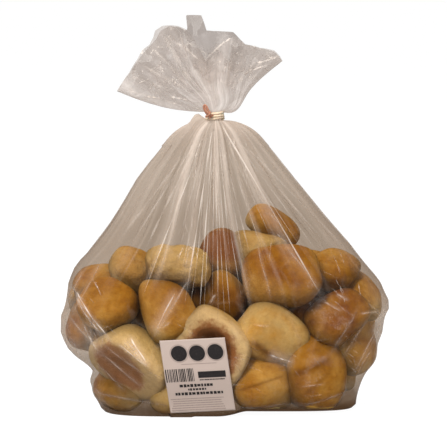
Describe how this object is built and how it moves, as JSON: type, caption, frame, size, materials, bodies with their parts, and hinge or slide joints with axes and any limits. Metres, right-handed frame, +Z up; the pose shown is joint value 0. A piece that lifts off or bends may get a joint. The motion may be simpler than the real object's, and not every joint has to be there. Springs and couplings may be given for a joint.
{
  "type": "bag of dinner rolls",
  "caption": "Clear film bag filled with a heap of baked dinner rolls, tied at the neck with a rubber band, its top fanned out, with a paper label low on the front.",
  "frame": {"origin": "on the floor, under the middle of the bag's box", "axes": "+Z up to the tied top, -Y the shown side with the label, +X to the right as shown"},
  "size_m": [0.3292, 0.1942, 0.3898],
  "materials": {
    "film": "gloss",
    "rubber_band": "satin",
    "rubber_knot": "satin",
    "paper_label": "matte",
    "label_print": "matte",
    "bread": "satin"
  },
  "bodies": {
    "root": {"bag": "film", "band_wraps": "rubber_band", "band_knot": "rubber_knot", "label": "paper_label"}
  },
  "joints": []
}
